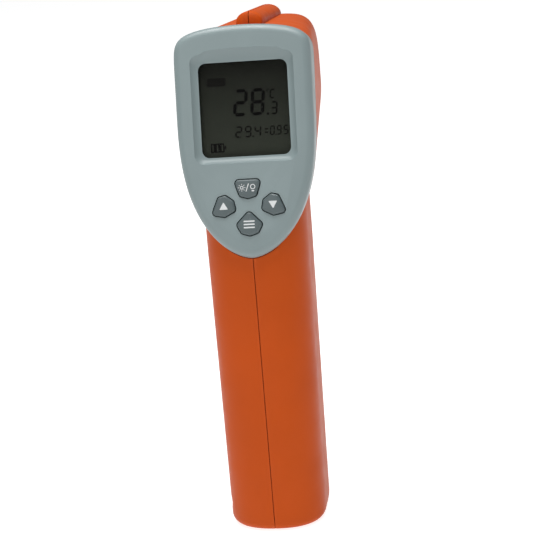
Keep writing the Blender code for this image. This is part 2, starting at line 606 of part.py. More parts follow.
def build_battery(looks):
    low = BATTERY_BASE
    frame = GRIP @ Matrix.Translation(low)
    w, d, h = BATTERY_SIZE
    body = [(a * MM, b * MM) for a, b in rectangle(w / MM, d / MM, 2.2)]
    rings = [[(x, y, z) for x, y in inset(body, depth)] for z, depth in
             ((0, 0.6 * MM), (0.6 * MM, 0), (h - 0.6 * MM, 0), (h, 0.6 * MM))]
    battery = loft("battery", rings, looks["battery"])
    battery.matrix_world = frame
    for name, radius, y in (("positive", 2.6 * MM, -6.3 * MM), ("negative", 3.1 * MM, 6.3 * MM)):
        rod(f"battery_terminal_{name}", radius, h + 0.3 * MM, h + 2.6 * MM, looks["steel"],
            frame @ Matrix.Translation((0, y, 0)), 14)
    prism("battery_snap", [(a * MM, b * MM) for a, b in rectangle(13, 25, 3)], h + 2.9 * MM, h + 5.2 * MM,
          looks["snap"], frame)
    lead = [(3, -6.0, 65.2), (3, -6.6, 72), (4, -6.0, 80), (5.5, -4.5, 88), (6, 0.5, 94)]
    swept("battery_lead_red", lead, 0.6 * MM, looks["red"])
    swept("battery_lead_black", [(-x, y, z) for x, y, z in lead], 0.6 * MM, looks["black"])


def place_origin():
    """Moves everything so that the middle of the whole object's box stands over the origin."""
    shift = Matrix.Translation((0, -BOX_MIDDLE_Y, 0))
    for made in bpy.context.scene.objects:
        made.matrix_world = shift @ made.matrix_world


def main():
    for old in list(bpy.data.objects):
        bpy.data.objects.remove(old)
    looks = {
        "orange": material("orange_abs", (0.50, 0.07, 0.012), 0.42),
        "grey": material("grey_abs", (0.22, 0.26, 0.27), 0.4),
        "key": material("key_rubber", (0.15, 0.18, 0.19), 0.5),
        "black": material("black_abs", (0.02, 0.02, 0.02), 0.45),
        "window": material("window_acrylic", (0.05, 0.055, 0.045), 0.08, alpha=0.35),
        "lcd": material("lcd_glass", (0.03, 0.035, 0.028), 0.15),
        "diffuser": material("backlight_diffuser", (0.75, 0.78, 0.7), 0.5),
        "rubber": material("zebra_rubber", (0.05, 0.05, 0.05), 0.7),
        "silicone": material("silicone", (0.5, 0.52, 0.5), 0.6),
        "board": material("circuit_board", (0.02, 0.16, 0.06), 0.4),
        "chip": material("chip_resin", (0.02, 0.02, 0.022), 0.5),
        "can": material("capacitor_can", (0.6, 0.6, 0.62), 0.3, 0.9),
        "steel": material("steel", (0.6, 0.6, 0.6), 0.3, 1.0),
        "aluminium": material("aluminium", (0.7, 0.7, 0.72), 0.35, 1.0),
        "brass": material("brass", (0.7, 0.5, 0.2), 0.3, 1.0),
        "lens": material("infrared_lens", (0.12, 0.13, 0.15), 0.1, 0.4),
        "laser_lens": material("laser_lens", (0.5, 0.05, 0.05), 0.08),
        "battery": material("battery_jacket", (0.02, 0.05, 0.18), 0.35),
        "snap": material("snap_vinyl", (0.03, 0.03, 0.03), 0.55),
        "red": material("red_wire", (0.5, 0.02, 0.02), 0.5),
        "carbon": material("carbon_contact", (0.03, 0.03, 0.03), 0.8),
    }
    build_shells(looks["orange"])
    build_screws(looks["steel"])
    build_hood(looks["grey"])
    build_keys(looks["key"], looks["carbon"])
    build_display(looks)
    build_nose(looks)
    build_trigger(looks)
    build_door(looks["orange"], looks["steel"])
    build_battery(looks)
    place_origin()


main()
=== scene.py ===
"""Finished looks for the infrared thermometer: fine housing, hood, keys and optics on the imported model."""

import json
import math

import bmesh
import bpy
from mathutils import Matrix, Vector


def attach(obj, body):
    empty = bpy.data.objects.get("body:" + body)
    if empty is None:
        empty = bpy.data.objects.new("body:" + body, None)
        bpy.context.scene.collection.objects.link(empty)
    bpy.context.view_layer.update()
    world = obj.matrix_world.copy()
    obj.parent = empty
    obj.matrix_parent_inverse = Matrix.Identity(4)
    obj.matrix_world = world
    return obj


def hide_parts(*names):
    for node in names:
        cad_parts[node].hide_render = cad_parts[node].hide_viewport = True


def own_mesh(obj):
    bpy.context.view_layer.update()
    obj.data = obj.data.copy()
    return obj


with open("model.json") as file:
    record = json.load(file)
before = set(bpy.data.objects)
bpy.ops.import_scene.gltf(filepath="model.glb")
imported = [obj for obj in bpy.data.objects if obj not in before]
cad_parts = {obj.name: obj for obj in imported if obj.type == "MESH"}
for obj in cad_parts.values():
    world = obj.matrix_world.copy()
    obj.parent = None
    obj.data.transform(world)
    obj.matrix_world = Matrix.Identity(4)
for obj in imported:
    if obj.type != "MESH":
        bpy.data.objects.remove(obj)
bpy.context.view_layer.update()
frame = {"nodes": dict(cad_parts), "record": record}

MM = 0.001
BACK = Matrix.Translation((0, -22.5 * MM, 0))  # shapes are worked out from the grip's base, then moved here

# The camera: where it looks, and from which side
LOOK_AT = Vector((5.2 * MM, -22.5 * MM, 78.2 * MM))
CAMERA_DISTANCE = 518 * MM
CAMERA_AZIMUTH = math.radians(8.6)
CAMERA_ELEVATION = math.radians(16.1)
CAMERA_ROLL = math.radians(-4.95)
LENS_MM = 105.6

# Sizes that the frame's shapes share
FACE_TILT = math.radians(13)
FACE_HALF_WIDTH = 21.2
FACE_TOP = 25.6
FACE_TIP = 45.5
FACE_ORIGIN = Vector((0, -6.5, 134.5))
HOOD_TIP_DEPTH = 3.3
HOOD_TOP_DEPTH = 11.5
NOSE_Y = 63.5
NOSE_Z = 132.3
NOSE_HALF_WIDTH = 16.3
NOSE_HALF_HEIGHT = 21.5
GRIP_RAKE = math.radians(3)
GRIP_BACK = 13.0
GRIP_FRONT = 24.0
GRIP_WIDEST_Y = -5.5
GRIP_HALF_WIDTH_BASE = 15.3
GRIP_HALF_WIDTH_TOP = 16.0
GRIP_FULL_WIDTH_Z = 90
WALL = 2.2
GAP = 0.3
WINDOW_SIZE = (27.5, 28.8)
WINDOW_CORNER = 2.3
RECESS_DEPTH = 1.6
HOOD_ROUNDING = 2.5
BARREL_RADIUS = 9.0
LASER_OFFSET = 13.6
LASER_RADIUS = 2.9
TRIGGER_PIVOT = Vector((0, 24.0, 107.0))
TRIGGER_HALF_WIDTH = 5.5
TRIGGER_PIN_RADIUS = 1.25
DOOR_HALF_WIDTH = 11.5
DOOR_TOP = 96.0
DOOR_HINGE = Vector((0, 16.6, 7.0))
DOOR_PIN_RADIUS = 0.9
KNUCKLE_RADIUS = 1.9
KNUCKLE_HALF_WIDTH = 6.0
DOOR_SWEEP = 3.6
SCREW_PLACES = ((-8.0, 6.6), (-1.0, 71.5), (40.0, 117.0), (34.0, 144.8))
BOSS_RADIUS = 2.8
SCREW_RADIUS = 1.2
SCREW_HEAD_RADIUS = 2.1


# Camera and stage

def place_camera():
    data = bpy.data.cameras.new("camera")
    data.lens = LENS_MM
    data.sensor_width = 36
    camera = bpy.data.objects.new("camera", data)
    bpy.context.scene.collection.objects.link(camera)
    level = math.cos(CAMERA_ELEVATION)
    towards = Vector((math.sin(CAMERA_AZIMUTH) * level, -math.cos(CAMERA_AZIMUTH) * level,
                      math.sin(CAMERA_ELEVATION)))
    right = (-towards).cross(Vector((0, 0, 1))).normalized()
    up = right.cross(-towards)
    rolled = math.cos(CAMERA_ROLL) * right + math.sin(CAMERA_ROLL) * up
    crown = math.cos(CAMERA_ROLL) * up - math.sin(CAMERA_ROLL) * right
    turn = Matrix((rolled, crown, towards)).transposed().to_4x4()
    camera.matrix_world = Matrix.Translation(LOOK_AT + towards * CAMERA_DISTANCE) @ turn
    bpy.context.scene.camera = camera


place_camera()


# Materials

def shader_of(material):
    return material.node_tree.nodes["Principled BSDF"]


def node(material, kind):
    return material.node_tree.nodes.new(kind)


def colour_mix(material, first, second):
    """A Mix node for colours, and its two colour sockets."""
    mix = node(material, "ShaderNodeMix")
    mix.data_type = "RGBA"
    sockets = mix.inputs[6], mix.inputs[7]
    for socket, colour in zip(sockets, (first, second)):
        if colour:
            socket.default_value = (*colour, 1)
    return mix, sockets


def connect(material, out, into):
    material.node_tree.links.new(out, into)


def noise(material, scale, detail=2.0, roughness=0.5):
    where = node(material, "ShaderNodeTexCoord")
    made = node(material, "ShaderNodeTexNoise")
    made.inputs["Scale"].default_value = scale
    made.inputs["Detail"].default_value = detail
    made.inputs["Roughness"].default_value = roughness
    connect(material, where.outputs["Object"], made.inputs["Vector"])
    return made


def ranged(material, value, low, high):
    made = node(material, "ShaderNodeMapRange")
    made.inputs["From Min"].default_value = 0.3
    made.inputs["From Max"].default_value = 0.7
    made.inputs["To Min"].default_value = low
    made.inputs["To Max"].default_value = high
    connect(material, value, made.inputs["Value"])
    return made.outputs["Result"]


def finish(name, colour, roughness, metallic=0.0, mottle=0.06, grain=2600.0, relief=0.00003,
           wander=0.06, coat=0.0, specular=0.5, alpha=1.0, edge=0.0):
    """A moulded or metal surface: clouded colour, wandering gloss, fine grain and a painted highlight that
    makes pointed edges paler.
    """
    made = bpy.data.materials.new(name)
    made.use_nodes = True
    shader = shader_of(made)
    shader.inputs["Metallic"].default_value = metallic
    shader.inputs["Coat Weight"].default_value = coat
    shader.inputs["Coat Roughness"].default_value = 0.15
    shader.inputs["Specular IOR Level"].default_value = specular
    shader.inputs["Alpha"].default_value = alpha
    clouds = noise(made, 70.0, 4.0)
    darker = [c * (1 - mottle) for c in colour]
    paler = [min(c * (1 + mottle), 1) for c in colour]
    mix, sockets = colour_mix(made, darker, paler)
    connect(made, ranged(made, clouds.outputs["Fac"], 0.0, 1.0), mix.inputs["Factor"])
    base = mix.outputs[2]
    # Painted highlight: where the surface is pointed, its colour is mixed towards a paler tone, up to the
    # share given by edge.
    if edge:
        edge_pointiness = node(made, "ShaderNodeNewGeometry")
        sharp = node(made, "ShaderNodeMapRange")
        sharp.inputs["From Min"].default_value = 0.52
        sharp.inputs["From Max"].default_value = 0.62
        sharp.inputs["To Max"].default_value = edge
        connect(made, edge_pointiness.outputs["Pointiness"], sharp.inputs["Value"])
        painted_edge_highlight, sockets = colour_mix(made, None, [min(c * 1.5 + 0.03, 1) for c in colour])
        connect(made, sharp.outputs["Result"], painted_edge_highlight.inputs["Factor"])
        connect(made, base, sockets[0])
        base = painted_edge_highlight.outputs[2]
    connect(made, base, shader.inputs["Base Color"])
    gloss = noise(made, 160.0, 3.0)
    connect(made, ranged(made, gloss.outputs["Fac"], max(roughness - wander, 0.02), roughness + wander),
            shader.inputs["Roughness"])
    if relief:
        grains = noise(made, grain, 2.0, 0.6)
        bump = node(made, "ShaderNodeBump")
        bump.inputs["Strength"].default_value = 0.6
        bump.inputs["Distance"].default_value = relief
        connect(made, grains.outputs["Fac"], bump.inputs["Height"])
        connect(made, bump.outputs["Normal"], shader.inputs["Normal"])
    made.diffuse_color = (*colour, 1)
    return made


def lcd_finish():
    """Display glass with painted shade: nearly black at its top and a little paler and greener towards its
    bottom.
    """
    made = finish("lcd_face", (0.02, 0.021, 0.015), 0.5, mottle=0.02, relief=0.0, wander=0.01, specular=0.1)
    where = node(made, "ShaderNodeTexCoord")
    parts = node(made, "ShaderNodeSeparateXYZ")
    connect(made, where.outputs["Object"], parts.inputs["Vector"])
    # Painted shade: the colour darkens with height, from the display's bottom to its nearly black top.
    height = node(made, "ShaderNodeMapRange")
    height.inputs["From Min"].default_value = 0.1195
    height.inputs["From Max"].default_value = 0.149
    height.inputs["To Min"].default_value = 1.0
    height.inputs["To Max"].default_value = 0.0
    connect(made, parts.outputs["Z"], height.inputs["Value"])
    painted_shade_ramp, sockets = colour_mix(made, (0.007, 0.008, 0.005), (0.040, 0.046, 0.034))
    connect(made, height.outputs["Result"], painted_shade_ramp.inputs["Factor"])
    connect(made, painted_shade_ramp.outputs[2], shader_of(made).inputs["Base Color"])
    return made


LOOKS = {
    "orange_abs": finish("orange_abs", (0.47, 0.064, 0.002), 0.46, mottle=0.03, edge=0.25, specular=0.14),
    "grey_abs": finish("grey_abs", (0.198, 0.248, 0.252), 0.40, mottle=0.02, edge=0.3, specular=0.45),
    "key_plastic": finish("key_plastic", (0.078, 0.102, 0.106), 0.40, mottle=0.03, edge=0.4),
    "black_abs": finish("black_abs", (0.018, 0.018, 0.019), 0.48, mottle=0.15, edge=0.3),
    "window_acrylic": finish("window_acrylic", (0.004, 0.004, 0.004), 0.1, mottle=0.02, relief=0.0,
                             wander=0.004, alpha=0.1, specular=0.1),
    "lcd_glass": lcd_finish(),
    "diffuser": finish("diffuser", (0.72, 0.75, 0.70), 0.5),
    "rubber": finish("rubber", (0.05, 0.05, 0.05), 0.75, mottle=0.2),
    "silicone": finish("silicone", (0.5, 0.52, 0.5), 0.6, mottle=0.05),
    "circuit_board": finish("circuit_board", (0.015, 0.13, 0.05), 0.35, mottle=0.25, grain=900,
                            relief=0.00005),
    "chip_resin": finish("chip_resin", (0.02, 0.02, 0.022), 0.55, mottle=0.2),
    "can_aluminium": finish("can_aluminium", (0.62, 0.62, 0.64), 0.3, 1.0, mottle=0.08),
    "steel": finish("steel", (0.55, 0.55, 0.56), 0.28, 1.0, mottle=0.1, grain=1200),
    "aluminium": finish("aluminium", (0.66, 0.67, 0.69), 0.32, 1.0, mottle=0.06, grain=1500),
    "brass": finish("brass", (0.72, 0.50, 0.20), 0.3, 1.0, mottle=0.1),
    "infrared_lens": finish("infrared_lens", (0.10, 0.11, 0.14), 0.12, 0.5, mottle=0.04, relief=0.0,
                            coat=0.6),
    "laser_lens": finish("laser_lens", (0.35, 0.02, 0.02), 0.08, mottle=0.05, relief=0.0, coat=0.8),
    "battery_jacket": finish("battery_jacket", (0.02, 0.05, 0.18), 0.35, mottle=0.1, coat=0.3),
    "snap_vinyl": finish("snap_vinyl", (0.03, 0.03, 0.03), 0.55, mottle=0.15),
    "red_wire": finish("red_wire", (0.45, 0.015, 0.015), 0.5, mottle=0.08),
    "black_wire": finish("black_wire", (0.02, 0.02, 0.02), 0.5, mottle=0.15),
    "carbon": finish("carbon", (0.03, 0.03, 0.03), 0.8, mottle=0.2),
}
ICON_WHITE = finish("icon_white", (0.62, 0.64, 0.64), 0.5, mottle=0.02)
SEGMENT_BLACK = finish("segment_black", (0.0012, 0.0012, 0.001), 0.6, mottle=0.05, relief=0.0, specular=0.05)
SEGMENT_FAINT = finish("segment_faint", (0.006, 0.006, 0.005), 0.6, mottle=0.05, relief=0.0,
                       specular=0.05)


# Outlines, in millimetres

def resampled(points, count):
    """The closed outline again, as count points spaced evenly along it."""
    ends = points[1:] + points[:1]
    steps = [math.dist(a, b) for a, b in zip(points, ends)]
    spacing = sum(steps) / count
    found = []
    walked = 0.0
    for a, b, step in zip(points, ends, steps):
        while len(found) < count and len(found) * spacing <= walked + step:
            share = (len(found) * spacing - walked) / step
            found.append((a[0] + share * (b[0] - a[0]), a[1] + share * (b[1] - a[1])))
        walked += step
    return found


def inset(points, depth):
    """The outline moved inwards by depth, along the mean normal at each point."""
    moved = []
    for i, (x, y) in enumerate(points):
        before, after = points[i - 1], points[(i + 1) % len(points)]
        along = Vector((after[0] - before[0], after[1] - before[1])).normalized()
        moved.append((x - along.y * depth, y + along.x * depth))
    return moved


def two_part_oval(half_width, top, bottom, top_powers, bottom_powers, count):
    """An oval whose upper and lower halves each follow |x/a|^p + |y/b|^q = 1, from its lowest point."""
    dense = []
    fine = 2400
    for i in range(fine):
        angle = -math.pi / 2 + 2 * math.pi * i / fine
        height, powers = (top, top_powers) if angle >= 0 and angle <= math.pi else (bottom, bottom_powers)
        across_, up = math.cos(angle), math.sin(angle)
        x = half_width * math.copysign(abs(across_) ** (2 / powers[0]), across_)
        y = height * math.copysign(abs(up) ** (2 / powers[1]), up)
        dense.append((x, y))
    return resampled(dense, count)


def shield(count, depth=0.0):
    outline = two_part_oval(FACE_HALF_WIDTH, FACE_TOP, FACE_TIP, (2, 11.5), (1.7, 2.75), count)
    return inset(outline, depth)


def nose_oval(count, depth=0.0):
    half_height = NOSE_HALF_HEIGHT
    outline = two_part_oval(NOSE_HALF_WIDTH, half_height, half_height, (4.6, 4.6), (2.6, 2.6), count)
    return inset(outline, depth)


def rounded_polygon(corners, radius, steps=8):
    outline = []
    for i, corner in enumerate(corners):
        here = Vector(corner)
        back = (Vector(corners[i - 1]) - here).normalized()
        on = (Vector(corners[(i + 1) % len(corners)]) - here).normalized()
        half_angle = back.angle(on) / 2
        centre = here + (back + on).normalized() * (radius / math.sin(half_angle))
        start = here + back * (radius / math.tan(half_angle)) - centre
        sweep = math.pi - 2 * half_angle
        for step in range(steps + 1):
            turned_by = Matrix.Rotation(sweep * step / steps, 2)
            outline.append(tuple(centre + turned_by @ start))
    return outline


def rectangle(width, height, radius, steps=8):
    x, y = width / 2, height / 2
    return rounded_polygon([(-x, -y), (x, -y), (x, y), (-x, y)], radius, steps)


def quarter(depth, rise, steps=6):
    """Steps (inset, drop) of a rounded edge: from the flat top's rim round to the upright side."""
    turns = [math.pi / 2 * i / steps for i in range(steps + 1)]
    return [(depth * (1 - math.sin(t)), rise * (1 - math.cos(t))) for t in turns]


# Solids

def new_object(name, bm):
    bmesh.ops.recalc_face_normals(bm, faces=bm.faces)
    mesh = bpy.data.meshes.new(name)
    bm.to_mesh(mesh)
    bm.free()
    made = bpy.data.objects.new(name, mesh)
    bpy.context.scene.collection.objects.link(made)
    return made


def loft(name, rings):
    bm = bmesh.new()
    loops = [[bm.verts.new(point) for point in ring] for ring in rings]
    for low, high in zip(loops, loops[1:]):
        for i in range(len(low)):
            j = (i + 1) % len(low)
            bm.faces.new((low[i], low[j], high[j], high[i]))
    bm.faces.new(reversed(loops[0]))
    bm.faces.new(loops[-1])
    return new_object(name, bm)


def prism(name, outline, low, high, where=Matrix.Identity(4)):
    made = loft(name, [[(x, y, z) for x, y in outline] for z in (low, high)])
    made.data.transform(where)
    return made


def cap_prism(name, outline, low, high, rim, where=Matrix.Identity(4), steps=5):
    """A prism whose upper edge is rounded."""
    rings = [[(x, y, low) for x, y in outline]]
    for depth, drop in reversed(quarter(rim, rim, steps)):
        rings.append([(x, y, high - drop) for x, y in inset(outline, depth)])
    made = loft(name, rings)
    made.data.transform(where)
    return made


def turned(name, profile, where=Matrix.Identity(4), steps=48):
    bm = bmesh.new()
    points = [bm.verts.new((radius, 0, height)) for radius, height in profile]
    edges = [bm.edges.new((a, b)) for a, b in zip(points, points[1:] + points[:1])]
    bmesh.ops.spin(bm, geom=points + edges, axis=(0, 0, 1), cent=(0, 0, 0), angle=2 * math.pi, steps=steps)
    bmesh.ops.remove_doubles(bm, verts=bm.verts, dist=0.001)
    bmesh.ops.dissolve_degenerate(bm, edges=bm.edges, dist=0.0001)
    made = new_object(name, bm)
    made.data.transform(where)
    return made


def rod(name, radius, low, high, where=Matrix.Identity(4), steps=48):
    return turned(name, [(0, low), (radius, low), (radius, high), (0, high)], where, steps)


def box(name, low, high, where=Matrix.Identity(4)):
    outline = [(low[0], low[1]), (high[0], low[1]), (high[0], high[1]), (low[0], high[1])]
    return prism(name, outline, low[2], high[2], where)


def change(target, operation, *tools):
    """Carries out Booleans at once and takes the tool solids away."""
    for tool in tools:
        modifier = target.modifiers.new("change", "BOOLEAN")
        modifier.operation = operation
        modifier.solver = "MANIFOLD"
        modifier.object = tool
        seen = target.evaluated_get(bpy.context.evaluated_depsgraph_get())
        mesh = bpy.data.meshes.new_from_object(seen)
        target.modifiers.remove(modifier)
        old = target.data
        target.data = mesh
        bpy.data.meshes.remove(old)
        bpy.data.objects.remove(tool)


def cut(target, *tools):
    change(target, "DIFFERENCE", *tools)


def join(target, *tools):
    change(target, "UNION", *tools)


def settle(piece, slot, body="housing", stands_for=None, look=None, sharp=30):
    """Moves a piece from millimetres about the grip's base to its place, and says what it is."""
    piece.data.transform(BACK @ Matrix.Scale(MM, 4))
    piece.data.materials.clear()
    piece.data.materials.append(look or LOOKS[slot])
    piece.data.shade_smooth()
    piece.data.set_sharp_from_angle(angle=math.radians(sharp))
    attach(piece, body)
    if stands_for:
        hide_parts(stands_for)
    return piece


# Frames

FACE = Matrix.Translation(FACE_ORIGIN) @ Matrix.Rotation(math.pi / 2 - FACE_TILT, 4, "X")
SIDEWAYS = Matrix.Rotation(math.pi / 2, 4, "Y") @ Matrix.Rotation(math.pi / 2, 4, "Z")
UPRIGHT = Matrix.Rotation(math.pi / 2, 4, "X")


def nose_frame(z):
    return Matrix.Translation((0, NOSE_Y, z)) @ Matrix.Rotation(-math.pi / 2, 4, "X")


def across(y, z):
    return Matrix.Translation((0, y, z)) @ Matrix.Rotation(math.pi / 2, 4, "Y")


def on_face(x, up):
    return FACE @ Matrix.Translation((x, up, 0))


# The housing

HEAD_POINTS = 192
GRIP_POINTS = 144
NOSE_LIP = ((1.2, 0), (0.6, 0.12), (0.18, 0.4), (0, 0.85))  # how far back from the nose's end, and how deep


def hood_depth(up):
    share = (up + FACE_TIP) / (FACE_TOP + FACE_TIP)
    return HOOD_TIP_DEPTH + share * (HOOD_TOP_DEPTH - HOOD_TIP_DEPTH)


def hood_ring(outline, depth_at):
    return [FACE @ Vector((x, up, -depth_at(up))) for x, up in outline]


def head_lines(depth, count=HEAD_POINTS):
    rear = hood_ring(shield(count, depth), hood_depth)
    front = [Vector((x, NOSE_Y, NOSE_Z + up)) for x, up in nose_oval(count, depth)]
    return list(zip(rear, front))


def head_ring(share, depth, count=HEAD_POINTS):
    return [a.lerp(b, share) for a, b in head_lines(depth, count)]


def head_section(y, depth, count=HEAD_POINTS):
    return [a.lerp(b, (y - a.y) / (b.y - a.y)) for a, b in head_lines(depth, count)]


def head_solid(name):
    rings = [head_ring(0, 0.25), head_ring(0.0035, 0.07), head_ring(0.008, 0)]
    rings += [head_ring(0.008 + 0.942 * i / 26, 0) for i in range(1, 27)]
    rings += [head_section(NOSE_Y - back, depth) for back, depth in NOSE_LIP]
    return loft(name, rings)


def grip_ring(height, depth, count=GRIP_POINTS):
    rise = min(height / GRIP_FULL_WIDTH_Z, 1)
    half_width = GRIP_HALF_WIDTH_BASE + rise * (GRIP_HALF_WIDTH_TOP - GRIP_HALF_WIDTH_BASE)
    outline = two_part_oval(half_width, GRIP_FRONT, GRIP_BACK, (4, 4), (2.3, 2.3), count)
    lean = GRIP_WIDEST_Y + height * math.tan(GRIP_RAKE)
    return [Vector((x, y + lean, height)) for x, y in inset(outline, depth)]


def grip_solid(name, stations, count=GRIP_POINTS):
    return loft(name, [grip_ring(height, depth, count) for height, depth in stations])


def grip_outside(low=2.8, high=116):
    rows = 34
    return [(low + (high - low) * i / rows, 0) for i in range(rows + 1)]


def ridge_solid(name):
    rings = []
    stations = [(18.2, 157.0, 3.0), (18.45, 158.4, 3.5), (18.8, 159.5, 3.9), (19.3, 160.2, 4.15),
                (20.2, 160.48, 4.3)]
    stations += [(20.2 + 41.6 * i / 14, 160.48 - 3.0 * i / 14, 4.3 + 0.3 * i / 14) for i in range(1, 15)]
    stations += [(62.6, 157.25, 4.5), (63.1, 156.8, 4.2)]
    for y, top, half_width in stations:
        turns = [math.pi * i / 28 for i in range(29)]
        ring = [(half_width * math.cos(t), top - 3.4 * (1 - math.sin(t))) for t in turns]
        ring += [(-half_width, top - 9), (half_width, top - 9)]
        rings.append([Vector((x, y, z)) for x, z in ring])
    return loft(name, rings)


def door_outline(margin):
    side, notch = DOOR_HALF_WIDTH + margin, TRIGGER_HALF_WIDTH + 0.8 - margin
    tongue, low = KNUCKLE_HALF_WIDTH + margin, DOOR_HINGE.z + 0.35
    panel, floor, top = low + 2.3 - margin, 76 + margin, DOOR_TOP + margin
    half = [(tongue, low), (tongue, panel), (side, panel), (side, top), (notch, top), (notch, floor)]
    return half + [(-x, z) for x, z in reversed(half)]


def boss_reach(y, z):
    if z < 80:
        near = min(grip_ring(z, 0), key=lambda p: abs(p.y - y) - (10000 if p.x > 0 else 0))
    else:
        rear_y = (FACE @ Vector((0, (z - FACE_ORIGIN.z) / math.cos(FACE_TILT), -8))).y
        ring = head_ring((y - rear_y) / (NOSE_Y - rear_y), 0)
        near = min(ring, key=lambda p: abs(p.z - z) - (10000 if p.x > 0 else 0))
    return near.x


def screw_hole(name, side, y, z):
    where = across(y, z)
    if side > 0:
        return rod(name, SCREW_RADIUS + 0.05, -1, 7.2, where, 24)
    seat = boss_reach(y, z) - 4.6
    shaft, head = SCREW_RADIUS + GAP, SCREW_HEAD_RADIUS + GAP
    return turned(name, [(0, 1), (shaft, 1), (shaft, -seat), (head, -seat), (head, -30), (0, -30)], where, 40)


def copied(solid, name):
    made = solid.copy()
    made.data = solid.data.copy()
    made.name = name
    bpy.context.scene.collection.objects.link(made)
    return made


def build_tongue(whole):
    """The strip in the parting line, sunk below the surface, that keeps light out of the housing."""
    tongue = copied(whole, "seam_tongue")
    within = loft("within", [head_ring(share, 0.8, 96) for share in (0.003, 0.2, 0.4, 0.6, 0.8, 0.98)])
    join(within, grip_solid("within_grip", ((0.8, 0.8), (90, 0.8), (116, 0.8)), 72))
    change(tongue, "INTERSECT", box("slab", (-0.12, -300, -300), (0.12, 300, 300)), within)
    settle(tongue, "orange_abs")


def build_shells():
    coarse = 96
    head_hollow = loft("head_hollow", [head_ring(s, WALL, coarse) for s in
                                       (-0.12, 0.1, 0.3, 0.5, 0.7, 0.85, 1, 1.1)])
    grip_hollow = grip_solid("grip_hollow", ((10.2, WALL), (90, WALL), (117, WALL)), 72)
    pocket = loft("pocket", [hood_ring(shield(HEAD_POINTS, -GAP), lambda up: hood_depth(up) + 0.08),
                             hood_ring(shield(HEAD_POINTS, -GAP), lambda up: hood_depth(up) - 14)])
    ribs = grip_solid("ribs", ((5, 1.2), (90, 1.2), (112, 1.2)), 72)
    seat = [(-3, 66.4), (10.6, 66.4), (10.6, 102), (9.2, 102), (9.2, 67.9), (-3, 67.9)]
    change(ribs, "INTERSECT", prism("rib_outline", seat, -20, 20, SIDEWAYS))
    hinge = across(DOOR_HINGE.y, DOOR_HINGE.z)
    groove_end = KNUCKLE_HALF_WIDTH + 1.3 * GAP
    pin = trigger_pin_reach() + 0.2
    cutters = [
        box("slot", (-6.15, 12.2, 72), (6.15, 33, 104.5)),
        rod("pivot", TRIGGER_PIN_RADIUS + 0.05, -pin, pin, across(TRIGGER_PIVOT.y, TRIGGER_PIVOT.z)),
        box("floor_pocket", (-10, -3.6, 2.4), (10, 11.6, 12)),
        prism("opening", door_outline(GAP), -30, -7, UPRIGHT),
        rod("groove", DOOR_SWEEP, -groove_end, groove_end, hinge),
        rod("pin_hole", DOOR_PIN_RADIUS + 0.05, -9.1, 9.1, hinge),
    ]
    whole = head_solid("whole")
    foot = [(drop, depth) for depth, drop in quarter(2.8, 2.8, 8)]
    join(whole, grip_solid("grip", foot + grip_outside()[1:]), ridge_solid("ridge"))
    cut(whole, pocket, head_hollow, grip_hollow)
    join(whole, ribs)
    for y, z in SCREW_PLACES:
        reach = boss_reach(y, z) - 1.2
        join(whole, rod("boss", BOSS_RADIUS, -reach, reach, across(y, z), 32))
    cut(whole, *cutters)
    build_tongue(whole)
    far = 300
    for side, name in ((-1, "left_shell"), (1, "right_shell")):
        shell = copied(whole, f"{name}_fine")
        low_x, high_x = (-0.13, far) if side < 0 else (-far, 0.13)
        cut(shell, box("other_half", (low_x, -far, -far), (high_x, far, far)))
        for y, z in SCREW_PLACES:
            cut(shell, screw_hole("hole", side, y, z))
        settle(shell, "orange_abs", stands_for=name)
    bpy.data.objects.remove(whole)


# The hood

def key_outlines():
    trapezium = rounded_polygon([(-2.6, -2.2), (0, -2.9), (2.6, -2.2), (4.2, 2.8), (-4.2, 2.8)], 1.1)
    corners = [(-3.4, -2.6), (0.6, -3.4), (4.1, -1.6), (3.5, 1.4), (1.0, 3.2), (-1.2, 2.6)]
    side_key = rounded_polygon(corners, 1.0)
    mirrored = [(-x, y) for x, y in reversed(side_key)]
    mode = rounded_polygon([(-2.6, -2.9), (0, -3.7), (2.6, -2.9), (4.1, -0.2), (0, 3.9), (-4.1, -0.2)], 1.1)
    return {"button_light": ((0, -24.3), trapezium), "button_up": ((-8.1, -29.2), side_key),
            "button_down": ((8.1, -29.2), mirrored), "button_mode": ((0, -34.9), mode)}


def aligned(outline, count):
    points = resampled(outline, count)
    start = max(range(count), key=lambda i: points[i][0] - points[i][1])
    return points[start:] + points[:start]


def recess_outline():
    half_width, low, high = 15.9, -16.4, 16.6
    arch_turns = [math.pi * i / 24 for i in range(2, 23)]
    arch = [(half_width * math.cos(t), high + 2.0 * math.sin(t)) for t in arch_turns]
    turns = [math.pi / 2 * i / 10 for i in range(11)]
    foot = [(half_width - 3 + 3 * math.sin(t), low + 3 - 3 * math.cos(t)) for t in turns]
    shoulder = [(half_width - 3 + 3 * math.cos(t), high - 2 + 2.4 * math.sin(t)) for t in turns]
    crown = [(x, y) for x, y in arch if abs(x) < half_width - 3.4]
    half = foot + shoulder
    return half + crown + [(-x, y) for x, y in reversed(half)]


